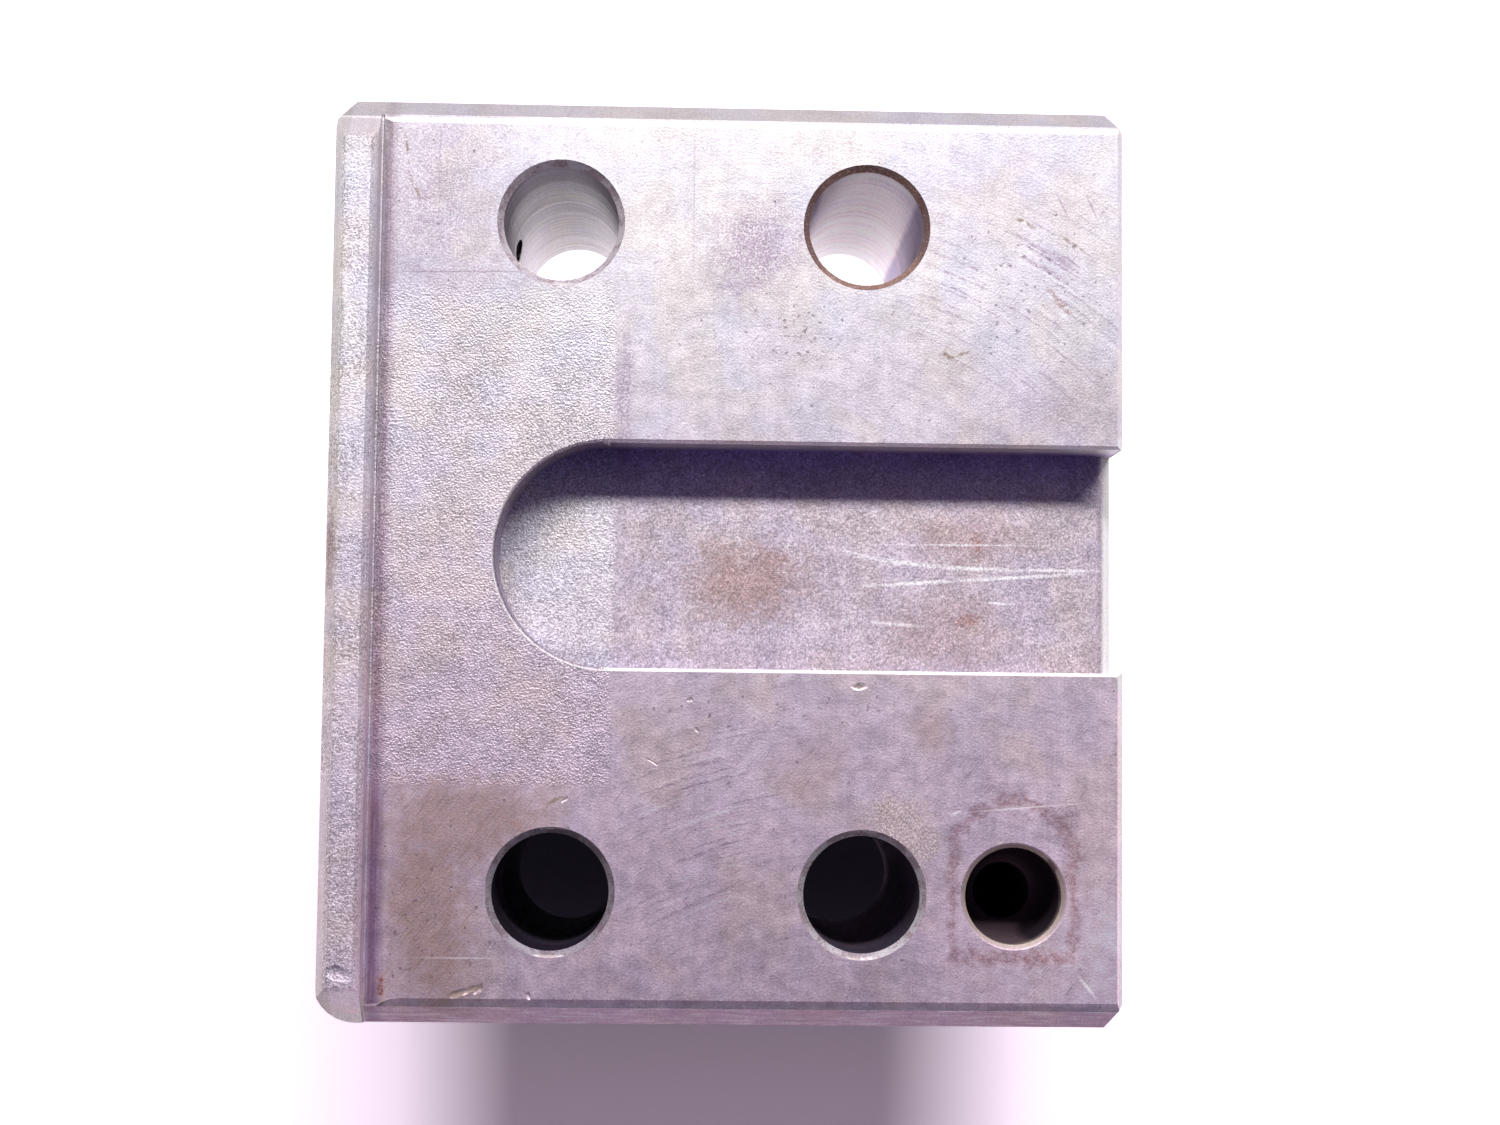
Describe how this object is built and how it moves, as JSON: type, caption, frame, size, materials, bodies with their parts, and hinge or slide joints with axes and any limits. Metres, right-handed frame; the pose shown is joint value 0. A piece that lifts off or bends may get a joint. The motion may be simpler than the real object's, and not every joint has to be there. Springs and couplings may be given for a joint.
{
  "type": "boring bar holder block",
  "caption": "Steel block that bolts to a turret face and holds a boring bar, with a keyed seat, locating lip and through coolant inlet.",
  "frame": {"origin": "centre of the whole block's outline in X and Y, at the back face of the hump that it rests on", "axes": "+Z out of the turret seat, +X along the bar bore away from the locating lip, +Y across the block towards the bolt row that has no coolant inlet"},
  "size_m": [0.0958, 0.1116, 0.0858],
  "materials": {
    "block_steel": "ground and worn bare steel with light stains",
    "plug_steel": "blackened steel"
  },
  "bodies": {
    "root": {"holder_block": "block_steel", "coolant_plug": "plug_steel"}
  },
  "joints": []
}
